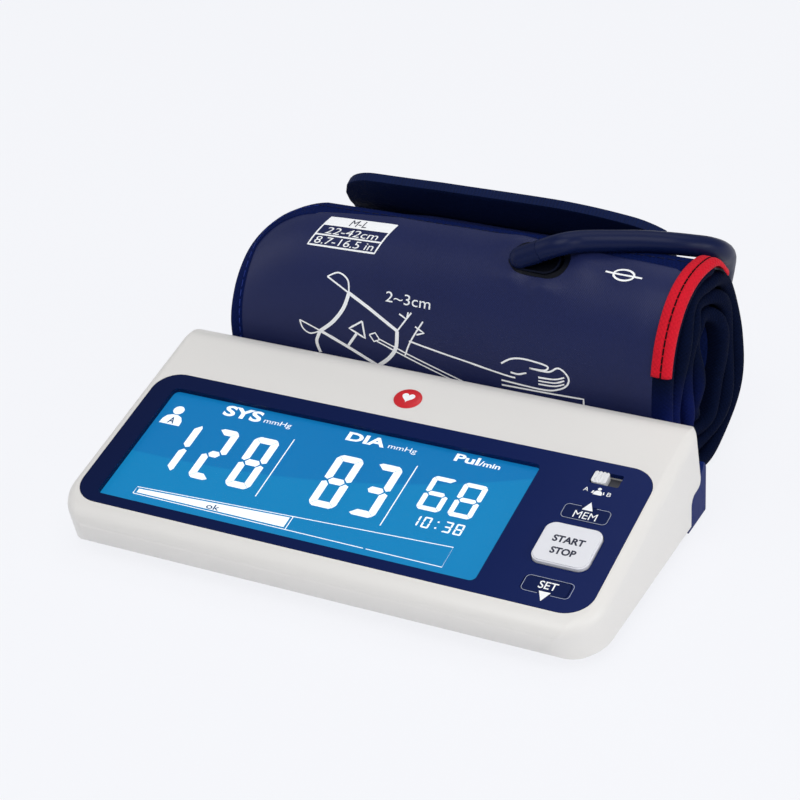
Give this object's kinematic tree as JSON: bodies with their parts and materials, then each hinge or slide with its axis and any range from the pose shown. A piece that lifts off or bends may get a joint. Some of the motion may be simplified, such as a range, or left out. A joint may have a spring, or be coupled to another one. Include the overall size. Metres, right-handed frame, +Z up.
{
  "type": "upper-arm blood pressure monitor with rolled cuff",
  "caption": "Desk-top blood pressure monitor: tilted display and keys in a two-part housing, battery bay, pump and valve, and a rolled soft arm cuff with its air hose behind it.",
  "frame": {"origin": "middle of the footprint of the monitor and its cuff, on the table; the loose hose isn't counted", "axes": "+X to the right along the width, -Y towards the user, +Z up"},
  "size_m": [0.167, 0.2194, 0.0761],
  "materials": {
    "white_abs": "satin moulded",
    "blue_abs": "satin moulded",
    "navy_fascia": "glossy film",
    "window_clear": "clear, glossy",
    "lcd_blue": "lit liquid crystal",
    "light_white": "smooth",
    "holder_white": "moulded",
    "strip_rubber": "matte",
    "board_green": "solder mask",
    "part_black": "moulded",
    "part_metal": "satin",
    "button_grey": "satin moulded",
    "key_navy": "satin moulded",
    "knob_white": "satin moulded",
    "shutter_dark": "moulded",
    "cell_shell": "printed sleeve",
    "spring_steel": "plated",
    "steel": "plated",
    "motor_steel": "satin",
    "silicone": "translucent matte",
    "rubber_dark": "matte",
    "nylon_navy": "coated woven nylon",
    "bladder_rubber": "matte",
    "loop_blue": "brushed loop fleece",
    "binding_blue": "woven binding",
    "tape_red": "woven tape",
    "flap_dark": "coated fabric",
    "hose_navy": "smooth",
    "tie_black": "moulded"
  },
  "bodies": {
    "housing": {"top_cover": "white_abs", "base_shell": "blue_abs", "display_fascia": "navy_fascia", "display_window": "window_clear", "lcd_glass": "lcd_blue", "backlight_panel": "light_white", "lcd_frame": "holder_white", "connector_strip": "strip_rubber", "main_board": "board_green", "board_chips": "part_black", "tact_switches": "part_metal", "slide_switch_body": "part_metal", "buzzer": "part_black", "battery_cells": "cell_shell", "battery_contacts": "spring_steel", "dc_jack": "part_black", "air_pump": "part_black", "pump_motor": "motor_steel", "air_valve": "part_black", "pressure_sensor": "holder_white", "air_lines": "silicone", "air_socket": "part_black", "feet": "rubber_dark", "housing_screws": "steel", "board_screws": "steel"},
    "start_button": {"start_stop_button": "button_grey"},
    "memory_key": {"mem_key": "key_navy"},
    "setting_key": {"set_key": "key_navy"},
    "user_switch": {"user_switch_knob": "knob_white", "switch_shutter": "shutter_dark"},
    "door": {"battery_door": "blue_abs"},
    "cuff": {"cuff_outer_panel": "nylon_navy", "cuff_bladder": "bladder_rubber", "cuff_inner_panel": "loop_blue", "left_binding": "binding_blue", "right_binding": "binding_blue", "end_binding": "binding_blue", "red_tape": "tape_red", "cuff_tail": "flap_dark", "hose_port": "part_black", "air_hose": "hose_navy", "hose_coil": "hose_navy", "coil_tie": "tie_black", "air_plug": "part_black"}
  },
  "joints": [
    {"name": "start_stop_press", "type": "slide", "parent": "housing", "child": "start_button", "axis": [0, 0.2215, -0.9751], "range_m": [0, 0.0008], "stiffness_N_per_m": 800, "springref_m": -0.0006},
    {"name": "mem_press", "type": "slide", "parent": "housing", "child": "memory_key", "axis": [0, 0.2215, -0.9751], "range_m": [0, 0.0005], "stiffness_N_per_m": 1500, "springref_m": -0.0003},
    {"name": "set_press", "type": "slide", "parent": "housing", "child": "setting_key", "axis": [0, 0.2215, -0.9751], "range_m": [0, 0.0005], "stiffness_N_per_m": 1500, "springref_m": -0.0003},
    {"name": "user_switch_slide", "type": "slide", "parent": "housing", "child": "user_switch", "axis": [1, 0, 0], "range_m": [0, 0.0036]},
    {"name": "battery_door_hinge", "type": "hinge", "parent": "housing", "child": "door", "pos_m": [0, -0.00844, 0.0017], "axis": [-1, 0, 0], "range_deg": [0, 80]},
    {"name": "cuff_lift", "type": "slide", "parent": "housing", "child": "cuff", "axis": [0, 0, 1], "range_m": [0, 0.1]}
  ]
}
